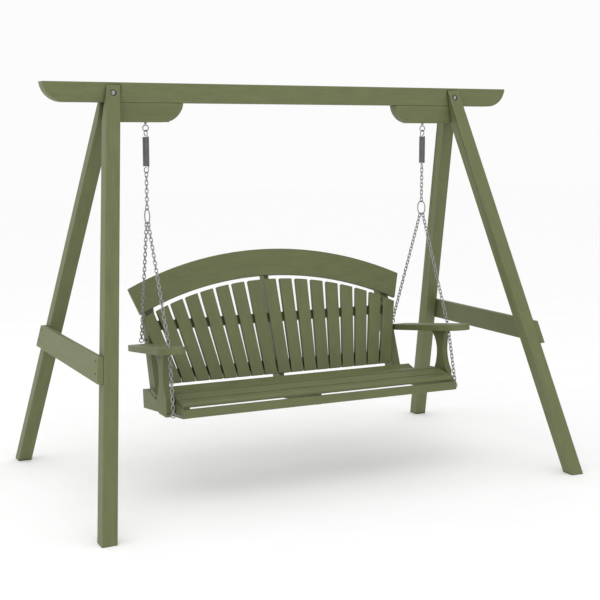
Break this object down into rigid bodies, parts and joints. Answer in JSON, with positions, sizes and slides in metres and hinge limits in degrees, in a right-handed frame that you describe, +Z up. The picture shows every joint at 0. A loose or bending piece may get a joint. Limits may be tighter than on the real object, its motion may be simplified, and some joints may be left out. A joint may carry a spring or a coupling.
{
  "type": "porch swing",
  "caption": "Bench swing with an arched fan-slat back, hung by springs and chains from a splayed four-leg stand.",
  "frame": {"origin": "centre of the footprint of the four legs, on the floor", "axes": "+X along the beam to the right of someone facing the front of the bench, +Y from the front of the bench to its back, +Z up"},
  "size_m": [2.595, 1.6252, 2],
  "materials": {
    "lumber": "satin moulded-in olive green with a faint grain",
    "zinc": "dull zinc plating",
    "spring_steel": "dark grey satin coating"
  },
  "bodies": {
    "stand": {"top_beam": "lumber", "beam_block_left": "lumber", "beam_block_right": "lumber", "leg_front_left": "lumber", "leg_front_right": "lumber", "leg_rear_left": "lumber", "leg_rear_right": "lumber", "side_brace_left": "lumber", "side_brace_right": "lumber", "leg_bolts": "zinc", "brace_screws": "lumber", "block_screws": "zinc", "beam_eye_left": "zinc", "beam_eye_right": "zinc"},
    "upper_hangers": {"spring_hook_upper_left": "spring_steel", "spring_hook_upper_right": "spring_steel", "spring_left": "spring_steel", "spring_right": "spring_steel"},
    "lower_hangers": {"spring_hook_lower_left": "spring_steel", "spring_hook_lower_right": "spring_steel", "upper_chain_left": "zinc", "upper_chain_right": "zinc"},
    "bench": {"ring_left": "zinc", "ring_right": "zinc", "front_chain_left": "zinc", "front_chain_right": "zinc", "rear_chain_left": "zinc", "rear_chain_right": "zinc", "front_eye_left": "zinc", "front_eye_right": "zinc", "rear_eye_left": "zinc", "rear_eye_right": "zinc", "seat_side_left": "lumber", "seat_side_right": "lumber", "seat_centre_frame": "lumber", "seat_apron": "lumber", "seat_stretcher": "lumber", "seat_slat_1": "lumber", "seat_slat_2": "lumber", "seat_slat_3": "lumber", "seat_slat_4": "lumber", "seat_slat_5": "lumber", "seat_slat_6": "lumber", "arm_left": "lumber", "arm_right": "lumber", "arm_post_left": "lumber", "arm_post_right": "lumber", "post_spacers": "lumber", "upright_left": "lumber", "upright_right": "lumber", "upright_centre": "lumber", "back_rail_upper": "lumber", "back_rail_lower": "lumber", "arched_top_rail": "lumber", "back_slats_left": "lumber", "back_slat_centre": "lumber", "back_slats_right": "lumber", "seat_screws": "lumber", "back_screws": "zinc", "arm_screws": "lumber"}
  },
  "joints": [
    {"name": "swing", "type": "hinge", "parent": "stand", "child": "upper_hangers", "pos_m": [0, 0, 1.7695], "axis": [1, 0, 0], "range_deg": [-25, 25]},
    {"name": "bounce", "type": "slide", "parent": "upper_hangers", "child": "lower_hangers", "axis": [0, 0, -1], "range_m": [0, 0.03], "stiffness_N_per_m": 20000, "springref_m": -0.04, "deforming": ["spring_left", "spring_right"]},
    {"name": "tilt", "type": "hinge", "parent": "lower_hangers", "child": "bench", "pos_m": [0, 0, 1.3869], "axis": [1, 0, 0], "range_deg": [-10, 10]}
  ]
}
